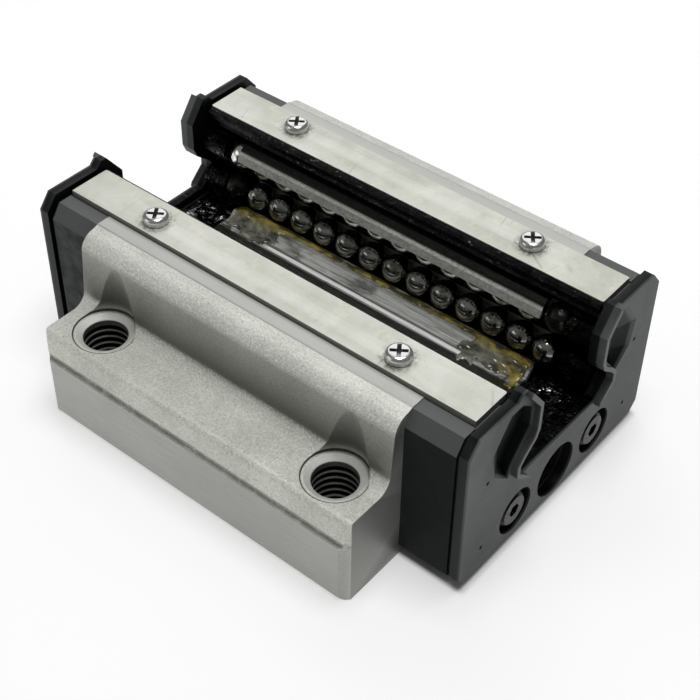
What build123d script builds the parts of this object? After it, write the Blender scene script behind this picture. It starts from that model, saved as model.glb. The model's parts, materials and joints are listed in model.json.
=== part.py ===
from build123d import *
import math
import os

# Flanged recirculating-ball rail carriage, millimetres.
# X runs along the rail, +Y is "left", +Z points away from the mounting face.
# The origin is the centre of the mounting face, so the rail channel opens upwards.

# ---- driving dimensions -------------------------------------------------
BLOCK_LENGTH = 59.5
BLOCK_END = BLOCK_LENGTH / 2
FLANGE_HALF_WIDTH = 35.0
FLANGE_HEIGHT = 16.0
GROUND_FACE_HEIGHT = 11.0
BLOCK_TOP = 28.5
WEB_HALF_WIDTH = 25.6
EDGE_CHAMFER = 1.3

BOLT_X = 22.5
BOLT_Y = 28.5
THREAD_MINOR_RADIUS = 3.4
THREAD_MAJOR_RADIUS = 4.0
THREAD_PITCH = 1.25
THREAD_START = 3.0
COUNTERSINK_RADIUS = 4.4
SPOT_FACE_RADIUS = 4.85
SPOT_FACE_DEPTH = 0.15
BOLT_RELIEF_TOP_RADIUS = 3.0
BOLT_RELIEF_TOP = 27.6

BALL_RADIUS = 4.762 / 2
BALL_PITCH = 4.8
BALLS_PER_ROW = 13
TURN_RADIUS = 3.4
TURN_X = BALLS_PER_ROW * BALL_PITCH / 2
GROOVE_RADIUS = BALL_RADIUS + 0.14
PASSAGE_RADIUS = BALL_RADIUS + 0.22
GUIDE_RADIUS = 3.1
TONGUE_RADIUS = 2.1

# Each circuit: load row centre, angle of the return row seen from it, rest phase along X.
CIRCUITS = {
    "lower": {"row": (11.4, 15.8), "angle": -29.0, "phase": 1.6},
    "upper": {"row": (11.7, 22.6), "angle": -20.5, "phase": -2.0},
}
SIDES = {"left": 1, "right": -1}
ENDS = {"front": 1, "rear": -1}

CHANNEL_FLOOR = 12.2
CHANNEL_HALF_WIDTH = 13.4
RIDGE_HALF_WIDTH = 12.6
RETAINER_LENGTH = 60.2
RETAINER_SHEET = 0.7
SHELF_HEIGHT = 25.2

CAP_END = 38.2
CAP_HALF_WIDTH = 23.1
CAP_BOTTOM = 1.2
CAP_TOP = 28.3
BACKING_END = 38.9
SEAL_END = 40.6
LIP_END = 41.55
LIP_WIDTH = 0.7
DIMPLE_RADIUS = 0.35
DIMPLE_DEPTH = 0.3
DIMPLE_Y = 18.6
DIMPLE_HEIGHTS = (5.6, 18.9)
SEAL_HALF_WIDTH = 23.4
SEAL_BOTTOM = 1.0
SEAL_TOP = 29.4
HORN_TOP = 30.4

PORT_HEIGHT = 6.0
PORT_RADIUS = 3.0
PORT_RING_RADIUS = 3.75
PORT_WINDOW_RADIUS = 4.6
PORT_THREAD_RADIUS = 2.55
PORT_DEPTH = 3.0
CAP_SCREW_Y = 10.3
CAP_SCREW_Z = 6.0
CAP_SCREW_RADIUS = 1.5
CAP_SCREW_HEAD_RADIUS = 3.2
CAP_SCREW_WINDOW_RADIUS = 3.85
CAP_SCREW_DEPTH = 6.5
CAP_SCREW_HEAD_HEIGHT = 1.55
CAP_SCREW_SOCKET = 2.3

PLATE_END = 38.0
PLATE_INNER = 11.8
PLATE_OUTER = 18.85
PLATE_BOTTOM = 28.0
PLATE_TOP = 29.2
PLATE_SCREW_X = 23.0
PLATE_SCREW_Y = 15.9
PLATE_SCREW_RADIUS = 1.2
PLATE_SCREW_HEAD_RADIUS = 2.0
PLATE_SCREW_HEAD_HEIGHT = 1.4
PLATE_SCREW_HEAD_ROUND = 0.75
PLATE_SCREW_TIP = 25.4

FIT_GAP = 0.03


# ---- small helpers ------------------------------------------------------
def save(name, shape):
    """Write one sub-part to its own STEP file."""
    os.makedirs("parts", exist_ok=True)
    export_step(shape, "parts/" + name + ".step")


def prism(points, x_start, x_end):
    """Solid with a (y, z) outline, extruded along X."""
    outline = Polyline(*[(y, z) for y, z in points], close=True)
    face = make_face(Plane.YZ.offset(x_start) * outline)
    return extrude(face, amount=x_end - x_start, dir=(1, 0, 0))


def both_sides(points):
    """Close a half outline, given from the middle outwards, by its mirror image."""
    return list(points) + [(-y, z) for y, z in reversed(points) if y > 0]


def rod(radius, x_start, x_end, y, z):
    """Cylinder along X between two stations."""
    place = Pos((x_start + x_end) / 2, y, z) * Rot(0, 90, 0)
    return place * Cylinder(radius, abs(x_end - x_start))


def post(radius, z_start, z_end, x, y):
    """Cylinder along Z between two heights."""
    return Pos(x, y, (z_start + z_end) / 2) * Cylinder(radius, z_end - z_start)


def block(x_start, x_end, y_start, y_end, z_start, z_end):
    """Box between two corners."""
    centre = Pos((x_start + x_end) / 2, (y_start + y_end) / 2, (z_start + z_end) / 2)
    return centre * Box(x_end - x_start, y_end - y_start, z_end - z_start)


def circuit_points(circuit, side):
    """Centres (y, z) of the load row, the turn and the return row of one circuit."""
    y, z = circuit["row"]
    angle = math.radians(circuit["angle"])
    step = (TURN_RADIUS * math.cos(angle), TURN_RADIUS * math.sin(angle))
    turn = (y + step[0], z + step[1])
    back = (y + 2 * step[0], z + 2 * step[1])
    return (side * y, z), (side * turn[0], turn[1]), (side * back[0], back[1])


def turn_frame(circuit, side, end):
    """Plane of one turn: its x axis points out of the block, its y axis to the return row."""
    load, turn, back = circuit_points(circuit, side)
    outward = Vector(end, 0, 0)
    across = Vector(0, back[0] - load[0], back[1] - load[1]).normalized()
    return Plane(origin=(end * TURN_X, turn[0], turn[1]), x_dir=outward, z_dir=outward.cross(across))


def all_circuits():
    """Every circuit with the words that name it."""
    for side_name, side in SIDES.items():
        for level, circuit in CIRCUITS.items():
            yield side_name, side, level, circuit


# ---- block --------------------------------------------------------------
def block_outline():
    """Closed (y, z) section of the steel block on the +Y half, down to the channel floor."""
    foot = EDGE_CHAMFER * 0.5
    side = Polyline(
        (0, CHANNEL_FLOOR), (0, 0), (FLANGE_HALF_WIDTH - foot, 0), (FLANGE_HALF_WIDTH, foot),
        (FLANGE_HALF_WIDTH, GROUND_FACE_HEIGHT),
        (FLANGE_HALF_WIDTH - 0.5, GROUND_FACE_HEIGHT + 0.3),
        (FLANGE_HALF_WIDTH - 0.5, GROUND_FACE_HEIGHT + 1.0),
        (FLANGE_HALF_WIDTH - 0.25, GROUND_FACE_HEIGHT + 1.4),
        (FLANGE_HALF_WIDTH - 0.6, FLANGE_HEIGHT - 1.1),
    )
    edge = ThreePointArc(
        side @ 1,
        (FLANGE_HALF_WIDTH - 0.95, FLANGE_HEIGHT - 0.35),
        (FLANGE_HALF_WIDTH - 1.8, FLANGE_HEIGHT),
    )
    root = (WEB_HALF_WIDTH + 2.6, FLANGE_HEIGHT)
    flange_top = Line(edge @ 1, root)
    fillet_arc = ThreePointArc(
        root, (WEB_HALF_WIDTH + 0.83, FLANGE_HEIGHT + 0.73), (WEB_HALF_WIDTH + 0.1, FLANGE_HEIGHT + 2.5)
    )
    web = Line(fillet_arc @ 1, (WEB_HALF_WIDTH - 0.5, BLOCK_TOP - 3.2))
    shoulder = ThreePointArc(
        web @ 1, (WEB_HALF_WIDTH - 1.3, BLOCK_TOP - 1.2), (WEB_HALF_WIDTH - 3.2, BLOCK_TOP - 0.35)
    )
    inside = Polyline(
        shoulder @ 1, (WEB_HALF_WIDTH - 4.2, BLOCK_TOP), (PLATE_OUTER + 0.25, BLOCK_TOP),
        (PLATE_OUTER + 0.25, PLATE_BOTTOM), (CHANNEL_HALF_WIDTH, PLATE_BOTTOM),
        (CHANNEL_HALF_WIDTH, SHELF_HEIGHT), (RIDGE_HALF_WIDTH, SHELF_HEIGHT), (RIDGE_HALF_WIDTH, 14.2),
        (9.9, CHANNEL_FLOOR + 0.6), (9.9, CHANNEL_FLOOR), (0, CHANNEL_FLOOR),
    )
    return Curve() + [side, edge, flange_top, fillet_arc, web, shoulder, inside]


def threaded_hole_cutter(x, y):
    """Tapped hole through the flange: ring grooves above a plain lead-in, countersunk, in a conical relief."""
    seat = FLANGE_HEIGHT - SPOT_FACE_DEPTH
    sink = (COUNTERSINK_RADIUS - THREAD_MINOR_RADIUS) * 0.7
    profile = [(0, -1), (THREAD_MINOR_RADIUS, -1)]
    turns = int((seat - sink - THREAD_START) / THREAD_PITCH)
    half = THREAD_PITCH * 0.42
    for turn in range(turns):
        z = THREAD_START + THREAD_PITCH * (turn + 0.5)
        profile += [
            (THREAD_MINOR_RADIUS, z - half), (THREAD_MAJOR_RADIUS, z - 0.08),
            (THREAD_MAJOR_RADIUS, z + 0.08), (THREAD_MINOR_RADIUS, z + half),
        ]
    profile += [
        (THREAD_MINOR_RADIUS, seat - sink), (COUNTERSINK_RADIUS, seat),
        (SPOT_FACE_RADIUS, seat), (SPOT_FACE_RADIUS, seat + 0.4),
        (BOLT_RELIEF_TOP_RADIUS, BOLT_RELIEF_TOP), (0, BOLT_RELIEF_TOP),
    ]
    cutter = revolve(make_face(Plane.XZ * Polyline(*profile, close=True)), Axis.Z)
    return Pos(x, y, 0) * cutter


def carriage_block():
    """Hardened steel body with ball grooves, return bores and four tapped flange holes."""
    face = make_face(Plane.YZ.offset(-BLOCK_END) * block_outline())
    half = extrude(face, amount=BLOCK_LENGTH, dir=(1, 0, 0))
    body = half + mirror(half, Plane.XZ)
    for _, side, _, circuit in all_circuits():
        load, _, back = circuit_points(circuit, side)
        body -= rod(GROOVE_RADIUS, -BLOCK_END - 1, BLOCK_END + 1, *load)
        body -= rod(GUIDE_RADIUS + FIT_GAP, -BLOCK_END - 1, BLOCK_END + 1, *back)
    for side in SIDES.values():
        for x in (-BOLT_X, BOLT_X):
            body -= threaded_hole_cutter(x, side * BOLT_Y)
        for x in (-PLATE_SCREW_X, PLATE_SCREW_X):
            hole_radius = PLATE_SCREW_RADIUS + FIT_GAP
            body -= post(hole_radius, PLATE_SCREW_TIP - 0.4, BLOCK_TOP, x, side * PLATE_SCREW_Y)
    for end in ENDS.values():
        for side in SIDES.values():
            inner = end * (BLOCK_END - CAP_SCREW_DEPTH - 1)
            hole_radius = CAP_SCREW_RADIUS + FIT_GAP
            body -= rod(hole_radius, inner, end * (BLOCK_END + 1), side * CAP_SCREW_Y, CAP_SCREW_Z)
    for end in ENDS.values():
        for side in SIDES.values():
            corner = Pos(end * BLOCK_END, side * FLANGE_HALF_WIDTH, 0) * Rot(0, 0, 45)
            size = EDGE_CHAMFER * math.sqrt(2)
            body -= corner * Box(size, size, 4 * FLANGE_HEIGHT)
    return body


# ---- ball guides --------------------------------------------------------
def return_guide(circuit, side):
    """Plastic tube that lines one return bore."""
    _, _, back = circuit_points(circuit, side)
    tube = rod(GUIDE_RADIUS, -BLOCK_END, BLOCK_END, *back)
    return tube - rod(PASSAGE_RADIUS, -BLOCK_END - 1, BLOCK_END + 1, *back)


def turn_passage(circuit, side, end):
    """Space that the balls sweep in one end cap: a half ring and its two straight mouths."""
    load, turn, back = circuit_points(circuit, side)
    ring = turn_frame(circuit, side, end).location * Torus(TURN_RADIUS, PASSAGE_RADIUS)
    reach = 2 * TURN_RADIUS + PASSAGE_RADIUS
    x_far = end * (TURN_X + reach)
    low, high = sorted((end * TURN_X, x_far))
    window = block(low, high, turn[0] - reach, turn[0] + reach, turn[1] - reach, turn[1] + reach)
    space = ring & window
    for y, z in (load, back):
        space += rod(PASSAGE_RADIUS, end * (BLOCK_END - 1), end * TURN_X, y, z)
    return space


def turn_guide_blank(circuit, side, end, gap):
    """Plain block that one inner turn guide is cut from, smaller all round by the gap."""
    frame = turn_frame(circuit, side, end)
    start = BLOCK_END - TURN_X + gap
    stop = 1.4 - gap
    size = Box(stop - start, 2 * (TURN_RADIUS - gap), 2 * (PASSAGE_RADIUS - 0.1 - gap))
    return frame.location * Pos((start + stop) / 2, 0, 0) * size


def turn_guides(end):
    """Four small plastic spools, one inside each turn at this end."""
    guides = []
    for _, side, _, circuit in all_circuits():
        blank = turn_guide_blank(circuit, side, end, FIT_GAP)
        spool = blank - turn_passage(circuit, side, end)
        guides.extend(spool.solids())
    return Compound(children=guides)


def ball_set(centres):
    """Group of loose balls."""
    balls = [Pos(*centre) * Sphere(BALL_RADIUS) for centre in centres]
    return Compound(children=balls)


def row_centres(circuit, centre, direction):
    """Ball centres of one straight row; the return row runs the other way."""
    first = -(BALLS_PER_ROW - 1) / 2 * BALL_PITCH + direction * circuit["phase"]
    return [(first + BALL_PITCH * index, centre[0], centre[1]) for index in range(BALLS_PER_ROW)]


def turn_centres(circuit, side, end):
    """Two balls in one turn, a quarter turn apart."""
    frame = turn_frame(circuit, side, end)
    shift = circuit["phase"] / BALL_PITCH * 90 * end
    centres = []
    for angle in (45 + shift, 135 + shift):
        a = math.radians(angle)
        out = TURN_RADIUS * math.sin(a)
        across = -TURN_RADIUS * math.cos(a)
        centres.append(tuple(frame.from_local_coords((out, across, 0))))
    return centres


# ---- ball retainers -----------------------------------------------------
def side_retainer(side):
    """Bent strip: a leg on the shelf above the upper row and a curved lip in front of the balls."""
    leg_bottom = SHELF_HEIGHT + 0.05
    leg_top = leg_bottom + 0.5
    lip_ball_side = [(9.2, 23.25), (9.55, 24.2), (10.3, 24.95), (11.0, leg_bottom)]
    leg_end = [(CHANNEL_HALF_WIDTH, leg_bottom), (CHANNEL_HALF_WIDTH, leg_top)]
    lip_rail_side = [(10.7, leg_top), (9.95, 25.3), (9.2, 24.5), (8.77, 23.3)]
    outline = lip_ball_side + leg_end + lip_rail_side
    return prism([(side * y, z) for y, z in outline], -BLOCK_END, BLOCK_END)


def centre_retainer():
    """Shallow steel channel on the floor; its raised edges keep the lower rows in."""
    half_width = 9.6
    edge_top = 13.95
    trough = CHANNEL_FLOOR + 0.1
    sheet = RETAINER_SHEET
    upper = [(0, trough + sheet), (6.6, trough + sheet), (7.6, edge_top), (half_width, edge_top)]
    lower = [(half_width, edge_top - sheet), (8.0, edge_top - sheet), (7.0, trough), (0, trough)]
    strip = prism(upper + lower, -RETAINER_LENGTH / 2, RETAINER_LENGTH / 2)
    strip += mirror(strip, Plane.XZ)
    upright = [edge for edge in strip.edges().filter_by(Axis.Z) if edge.length > sheet - 0.01]
    return fillet(upright, 1.6)


# ---- end caps -----------------------------------------------------------
def cap_outline():
    """Half (y, z) outline of an end cap, from the middle of the bottom to the channel floor."""
    return [
        (0, CAP_BOTTOM), (CAP_HALF_WIDTH - 0.8, CAP_BOTTOM), (CAP_HALF_WIDTH, CAP_BOTTOM + 0.8),
        (CAP_HALF_WIDTH, CAP_TOP - 2.3), (PLATE_OUTER + 2.6, CAP_TOP),
        (PLATE_OUTER + 0.25, CAP_TOP), (PLATE_OUTER + 0.25, PLATE_BOTTOM),
        (CHANNEL_HALF_WIDTH, PLATE_BOTTOM), (CHANNEL_HALF_WIDTH, 25.7), (11.8, 25.1), (10.4, 23.2),
        (10.8, 21.2), (12.3, 19.6), (12.3, 17.2), (10.4, 15.0), (9.9, CHANNEL_FLOOR), (0, CHANNEL_FLOOR),
    ]


def end_cap(end):
    """Plastic cap with the four turn passages, screw holes, grease port and grease groove."""
    low, high = sorted((end * BLOCK_END, end * CAP_END))
    cap = prism(both_sides(cap_outline()), low, high)
    for _, side, _, circuit in all_circuits():
        load, _, _ = circuit_points(circuit, side)
        cap += rod(TONGUE_RADIUS, low, high, *load)
    for _, side, _, circuit in all_circuits():
        cap -= turn_guide_blank(circuit, side, end, 0)
        cap -= turn_passage(circuit, side, end)
    for side in SIDES.values():
        screw_hole = CAP_SCREW_RADIUS + 0.2
        cap -= rod(screw_hole, low - 1, high + 1, side * CAP_SCREW_Y, CAP_SCREW_Z)
    cap -= rod(PORT_RADIUS, low - 1, high + 1, 0, PORT_HEIGHT)
    ring_seat = end * (CAP_END - PORT_DEPTH)
    cap -= rod(PORT_RING_RADIUS + FIT_GAP, ring_seat, end * (CAP_END + 1), 0, PORT_HEIGHT)
    groove_low, groove_high = sorted((end * (BLOCK_END - 1), end * (BLOCK_END + 1.2)))
    cap -= block(groove_low, groove_high, -12.5, 12.5, 9.4, 10.8)
    cap -= block(groove_low, groove_high, -0.8, 0.8, PORT_HEIGHT, 10.8)
    return cap


def port_insert(end):
    """Threaded brass bush in the grease port."""
    inner = end * (CAP_END - PORT_DEPTH)
    outer = end * (CAP_END + 0.5)
    bush = rod(PORT_RING_RADIUS, inner, outer, 0, PORT_HEIGHT)
    return bush - rod(PORT_THREAD_RADIUS, inner - end, outer + end, 0, PORT_HEIGHT)


def port_plug(end):
    """Hex-socket plug that closes the unused grease port."""
    inner = CAP_END - PORT_DEPTH + 0.2
    outer = CAP_END + 0.3
    plug = rod(PORT_THREAD_RADIUS - 0.05, end * inner, end * outer, 0, PORT_HEIGHT)
    return plug - hex_socket(end, outer, 0, PORT_HEIGHT, 2.9, 1.6)


# ---- end seals ----------------------------------------------------------
def seal_opening():
    """Half (y, z) contour of the lip around the rail, from the floor up to the horn."""
    return [
        (9.3, 13.3), (11.9, 15.7), (11.9, 17.2), (10.9, 18.3), (8.6, 20.2), (7.9, 21.8),
        (7.9, 26.6),
    ]


def seal_outline():
    """Half (y, z) outline of an end seal, open towards the rail, with a raised horn."""
    contour = seal_opening()
    outer = [
        (0, SEAL_BOTTOM), (SEAL_HALF_WIDTH - 1.6, SEAL_BOTTOM), (SEAL_HALF_WIDTH, SEAL_BOTTOM + 1.6),
        (SEAL_HALF_WIDTH, SEAL_TOP - 2.4), (SEAL_HALF_WIDTH - 2.0, SEAL_TOP), (12.9, SEAL_TOP),
        (11.9, HORN_TOP), (10.8, HORN_TOP),
    ]
    return outer + contour[::-1] + [(0, contour[0][1])]


def lip_outline():
    """Half (y, z) outline of the raised lip, a band along the opening."""
    band = [
        (9.0, 13.3 - LIP_WIDTH), (12.2, 14.9), (11.9 + LIP_WIDTH, 15.6), (11.9 + LIP_WIDTH, 17.4),
        (11.4, 18.8), (9.1, 20.7), (7.9 + LIP_WIDTH, 22.0), (7.9 + LIP_WIDTH, 26.3),
        (11.3, HORN_TOP - 0.6),
    ]
    return seal_opening() + [(10.8, HORN_TOP)] + band[::-1]


def seal_pocket(side, end):
    """Scooped recess beside the lip, deepest at the foot of the lip."""
    rim = [
        (8.7, 22.2), (8.7, 25.9), (11.6, 28.3), (14.4, 28.3),
        (18.0, 23.4), (17.2, 18.8), (13.6, 15.6), (12.7, 17.5),
    ]
    foot = [
        (9.2, 22.6), (9.2, 25.2), (11.2, 26.6), (12.2, 26.2),
        (14.2, 22.8), (14.4, 19.2), (13.4, 17.0), (12.9, 18.0),
    ]
    faces = []
    for x, outline in ((SEAL_END + 0.01, rim), (BACKING_END + 0.25, foot)):
        plane = Plane.YZ.offset(end * x)
        faces.append(make_face(plane * Polyline(*[(side * y, z) for y, z in outline], close=True)))
    return loft(faces, ruled=True)


def end_seal(end):
    """Moulded end seal with raised lips, scooped recesses and three round windows."""
    low, high = sorted((end * BACKING_END, end * SEAL_END))
    seal = prism(both_sides(seal_outline()), low, high)
    for side in SIDES.values():
        seal -= seal_pocket(side, end)
        lip_low, lip_high = sorted((end * BACKING_END, end * LIP_END))
        seal += prism([(side * y, z) for y, z in lip_outline()], lip_low, lip_high)
        seal -= rod(CAP_SCREW_WINDOW_RADIUS, low - 1, high + 1, side * CAP_SCREW_Y, CAP_SCREW_Z)
        for z in DIMPLE_HEIGHTS:
            dimple_floor = end * (SEAL_END - DIMPLE_DEPTH)
            seal -= rod(DIMPLE_RADIUS, dimple_floor, end * (SEAL_END + 1), side * DIMPLE_Y, z)
    seal -= rod(PORT_WINDOW_RADIUS, low - 1, high + 1, 0, PORT_HEIGHT)
    return seal


def backing_plate(end):
    """Thin steel plate between the cap and the seal, set in from the seal's edge."""
    inset = 0.5
    outline = [
        (0, CAP_BOTTOM + inset), (CAP_HALF_WIDTH - 1.4, CAP_BOTTOM + inset),
        (CAP_HALF_WIDTH - inset, CAP_BOTTOM + 1.4), (CAP_HALF_WIDTH - inset, CAP_TOP - 2.6),
        (PLATE_OUTER + 2.2, CAP_TOP - inset), (13.2, CAP_TOP - inset), (12.9, 15.0), (9.9, 11.8),
        (0, 11.8),
    ]
    low, high = sorted((end * CAP_END, end * BACKING_END))
    plate = prism(both_sides(outline), low, high)
    for side in SIDES.values():
        plate -= rod(CAP_SCREW_RADIUS + 0.2, low - 1, high + 1, side * CAP_SCREW_Y, CAP_SCREW_Z)
    return plate - rod(PORT_RING_RADIUS + 0.3, low - 1, high + 1, 0, PORT_HEIGHT)


def hex_socket(end, face_x, y, z, across_corners, depth):
    """Hexagonal recess that opens away from the block."""
    outline = Plane.YZ.offset(end * face_x) * Pos(y, z) * RegularPolygon(across_corners / 2, 6)
    return extrude(outline, amount=depth, dir=(-end, 0, 0))


def cap_screws(end):
    """Two button-head screws that hold the seal, the plate and the cap."""
    screws = []
    head_top = BACKING_END + CAP_SCREW_HEAD_HEIGHT
    for side in SIDES.values():
        y = side * CAP_SCREW_Y
        inner = end * (BLOCK_END - CAP_SCREW_DEPTH)
        screw = rod(CAP_SCREW_RADIUS, inner, end * BACKING_END, y, CAP_SCREW_Z)
        head = rod(CAP_SCREW_HEAD_RADIUS, end * BACKING_END, end * head_top, y, CAP_SCREW_Z)
        rim = head.edges().filter_by(GeomType.CIRCLE).sort_by(Axis.X)
        head = chamfer(rim[-1] if end > 0 else rim[0], CAP_SCREW_HEAD_HEIGHT / 2)
        screw += head
        screw -= hex_socket(end, head_top, y, CAP_SCREW_Z, CAP_SCREW_SOCKET, 1.1)
        screws.append(screw)
    return Compound(children=screws)


# ---- side seals ---------------------------------------------------------
def side_seal_plate(side):
    """Flat steel strip that carries one side seal, with two screw holes."""
    y_low, y_high = sorted((side * PLATE_INNER, side * PLATE_OUTER))
    plate = block(-PLATE_END, PLATE_END, y_low, y_high, PLATE_BOTTOM, PLATE_TOP)
    inner_corners = plate.edges().filter_by(Axis.Z).sort_by(Axis.Y)
    inner_corners = inner_corners[:2] if side > 0 else inner_corners[2:]
    plate = fillet(inner_corners, 0.3)
    for x in (-PLATE_SCREW_X, PLATE_SCREW_X):
        plate -= post(PLATE_SCREW_RADIUS + 0.15, PLATE_BOTTOM - 1, PLATE_TOP + 1, x, side * PLATE_SCREW_Y)
    return plate


def side_seal_lip(side):
    """Rubber strip under the plate: it lines the channel wall and reaches in to the rail."""
    points = [
        (CHANNEL_HALF_WIDTH, PLATE_BOTTOM), (PLATE_INNER, PLATE_BOTTOM), (PLATE_INNER, PLATE_TOP - 0.25),
        (PLATE_INNER - 0.5, PLATE_TOP - 0.35), (10.9, 28.3), (10.9, 27.5), (12.0, 27.1),
        (12.3, 26.5), (11.9, 25.8), (CHANNEL_HALF_WIDTH, 25.8),
    ]
    return prism([(side * y, z) for y, z in points], -PLATE_END, PLATE_END)


def cross_recess(x, y, top):
    """Tapered cross recess in a pan head."""
    width = 0.62
    reach = 1.3
    depth = 0.95
    tool = Pos(x, y, top - depth / 2) * Box(2 * reach, width, depth + 0.01)
    tool += Pos(x, y, top - depth / 2) * Box(width, 2 * reach, depth + 0.01)
    return Pos(x, y, 0) * Rot(0, 0, 35) * Pos(-x, -y, 0) * tool


def plate_screws():
    """Four pan-head cross-recess screws."""
    screws = []
    top = PLATE_TOP + PLATE_SCREW_HEAD_HEIGHT
    for side in SIDES.values():
        for x in (-PLATE_SCREW_X, PLATE_SCREW_X):
            y = side * PLATE_SCREW_Y
            head = post(PLATE_SCREW_HEAD_RADIUS, PLATE_TOP, top, x, y)
            rim = head.edges().filter_by(GeomType.CIRCLE).sort_by(Axis.Z)[-1]
            head = fillet(rim, PLATE_SCREW_HEAD_ROUND)
            screw = head + post(PLATE_SCREW_RADIUS, PLATE_SCREW_TIP, PLATE_TOP + 0.1, x, y)
            screws.append(screw - cross_recess(x, y, top))
    return Compound(children=screws)


# ---- assembly -----------------------------------------------------------
def main():
    save("carriage_block", carriage_block())
    save("ball_retainer_centre", centre_retainer())
    save("side_seal_screws", plate_screws())
    for side_name, side in SIDES.items():
        save("ball_retainer_" + side_name, side_retainer(side))
        save("side_seal_plate_" + side_name, side_seal_plate(side))
        save("side_seal_lip_" + side_name, side_seal_lip(side))
    for end_name, end in ENDS.items():
        save("end_cap_" + end_name, end_cap(end))
        save("turn_guides_" + end_name, turn_guides(end))
        save("seal_backing_plate_" + end_name, backing_plate(end))
        save("end_seal_" + end_name, end_seal(end))
        save("end_cap_screws_" + end_name, cap_screws(end))
        save("grease_port_bush_" + end_name, port_insert(end))
    save("grease_port_plug_rear", port_plug(ENDS["rear"]))
    for side_name, side, level, circuit in all_circuits():
        place = side_name + "_" + level
        load, _, back = circuit_points(circuit, side)
        save("return_guide_" + place, return_guide(circuit, side))
        save("load_balls_" + place, ball_set(row_centres(circuit, load, 1)))
        save("return_balls_" + place, ball_set(row_centres(circuit, back, -1)))
        for end_name, end in ENDS.items():
            save("turn_balls_" + place + "_" + end_name, ball_set(turn_centres(circuit, side, end)))


main()
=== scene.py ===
import json
import math

import bmesh
import bpy
from mathutils import Matrix, Vector, noise


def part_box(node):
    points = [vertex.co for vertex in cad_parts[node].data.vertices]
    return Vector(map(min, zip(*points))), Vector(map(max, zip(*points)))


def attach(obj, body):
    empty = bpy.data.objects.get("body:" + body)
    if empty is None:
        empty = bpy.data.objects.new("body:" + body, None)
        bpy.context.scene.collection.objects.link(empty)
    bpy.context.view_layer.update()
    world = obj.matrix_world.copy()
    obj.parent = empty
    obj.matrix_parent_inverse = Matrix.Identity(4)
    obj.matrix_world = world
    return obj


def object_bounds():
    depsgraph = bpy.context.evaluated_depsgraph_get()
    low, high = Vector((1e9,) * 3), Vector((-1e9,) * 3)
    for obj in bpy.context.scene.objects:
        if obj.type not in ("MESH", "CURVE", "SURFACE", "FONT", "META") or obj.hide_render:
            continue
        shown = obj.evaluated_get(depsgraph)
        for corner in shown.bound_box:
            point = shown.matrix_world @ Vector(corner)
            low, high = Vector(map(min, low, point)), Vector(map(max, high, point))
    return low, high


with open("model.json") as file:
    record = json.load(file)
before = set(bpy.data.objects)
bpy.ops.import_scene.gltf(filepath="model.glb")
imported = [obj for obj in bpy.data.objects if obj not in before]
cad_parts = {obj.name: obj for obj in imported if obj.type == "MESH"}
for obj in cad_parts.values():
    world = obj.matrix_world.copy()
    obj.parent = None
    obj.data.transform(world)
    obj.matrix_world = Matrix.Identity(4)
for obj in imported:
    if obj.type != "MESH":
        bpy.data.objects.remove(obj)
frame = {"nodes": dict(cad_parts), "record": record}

CAD_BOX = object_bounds()
MM = 0.001
NODES = frame["nodes"]
ROOT = "carriage"

# ---- what the frame says ------------------------------------------------
BLOCK_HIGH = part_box("carriage_block")[1]
BLOCK_END = BLOCK_HIGH[0]
BLOCK_SIDE = BLOCK_HIGH[1]
STRIP_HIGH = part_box("ball_retainer_centre")[1]
CAP_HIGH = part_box("end_cap_front")[1]
PLATE_LOW, PLATE_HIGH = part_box("side_seal_plate_left")
PLATE_TOP = PLATE_HIGH[2]

# ---- heights, and distances from a middle plane or a hole's axis -----------
GROUND_TOP = 11.0 * MM
FLANGE_TOP = 16.0 * MM
BLOCK_CHANNEL_HALF = PLATE_LOW[1] + 1.6 * MM
CAP_CHANNEL_HALF = 13.0 * MM
SEAL_CHANNEL_HALF = 9.6 * MM
CHANNEL_FLOOR = 12.2 * MM

HOLE_X = 22.5 * MM
HOLE_Y = 28.5 * MM
SPOT_FACE = 4.85 * MM
COUNTERSINK = 4.4 * MM
THREAD_TOP = 15.0 * MM
BORE_RADIUS = 4.15 * MM
THREAD_CREST = 3.46 * MM
RELIEF_TOP = 27.6 * MM
RELIEF_TOP_RADIUS = 3.0 * MM

PLATE_SCREW_X = 23.0 * MM
PLATE_SCREW_Y = 15.9 * MM

TROUGH_TOP = STRIP_HIGH[2] - 0.95 * MM
TROUGH_HALF = 6.6 * MM
TROUGH_SLOPE = 1.0 * MM
DARK_MIDDLE = 3.95 * MM
# The strip's bright line is a painted highlight.
HIGHLIGHT_LINE = 4.75 * MM
SHADED_LINE = 5.35 * MM
UPPER_RETAINER_LEG = 9.7 * MM

GREYED_FROM = 31.0 * MM
PORT_DEEP = 38.7 * MM
SEAL_FACE = 40.6 * MM
LIP_TIP = 41.55 * MM

# ---- camera -------------------------------------------------------------
VIEW_AZIMUTH = 37.7
VIEW_ELEVATION = 42.3
VIEW_ROLL = 1.73
VIEW_OFFSET_RIGHT = 5.45 * MM
VIEW_OFFSET_UP = 7.24 * MM
VIEW_DISTANCE = 234.9 * MM
VIEW_LENS = 74.7
VIEW_SHIFT = (-0.0364, -0.0294)
SENSOR_WIDTH = 36.0


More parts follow.
